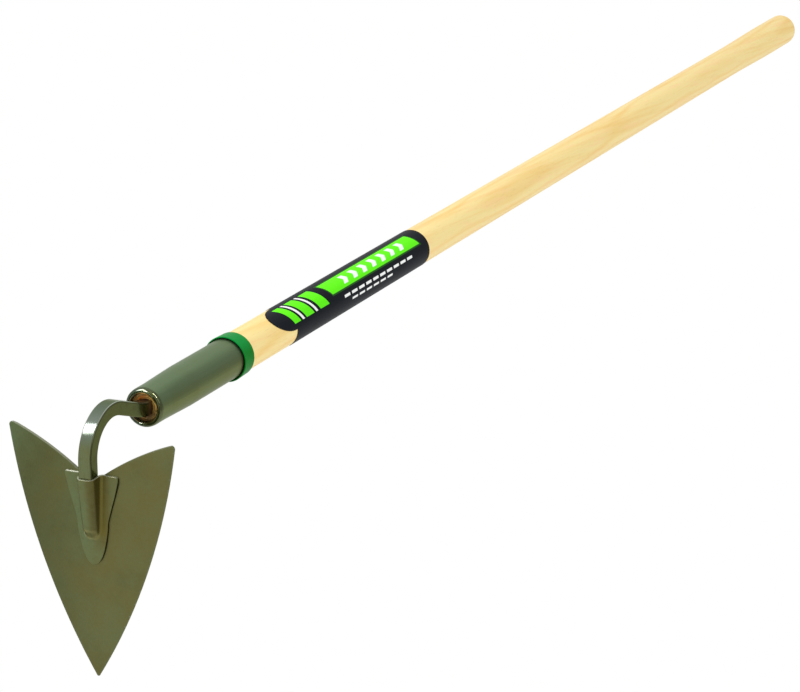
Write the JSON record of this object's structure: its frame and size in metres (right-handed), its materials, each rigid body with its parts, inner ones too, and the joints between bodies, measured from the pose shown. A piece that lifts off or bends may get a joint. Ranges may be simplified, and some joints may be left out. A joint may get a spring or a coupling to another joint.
{
  "type": "warren hoe",
  "caption": "Warren hoe with a pointed heart-shaped blade under a pressed saddle plate, a square gooseneck shank, a ferrule with a green collar and a long wooden handle.",
  "frame": {"origin": "on the handle axis, where a wall clip holds the bare wood between the collar and the label", "axes": "+Y along the handle towards its butt, -Z the way the blade's point hangs, +X across the blade"},
  "size_m": [0.1156, 1.4518, 0.1737],
  "materials": {
    "blade": "clear lacquered grey-olive steel",
    "saddle_plate": "clear lacquered grey-olive steel",
    "shank": "clear lacquered grey-olive steel",
    "ferrule": "clear lacquered grey-olive steel",
    "collar": "smooth moulded",
    "handle": "turned and lacquered",
    "label": "printed film",
    "ferrule_pin": "bright"
  },
  "bodies": {
    "root": {"blade": "blade", "saddle_plate": "saddle_plate", "shank": "shank", "ferrule": "ferrule", "collar": "collar", "handle": "handle", "label": "label", "ferrule_pin": "ferrule_pin"}
  },
  "joints": []
}
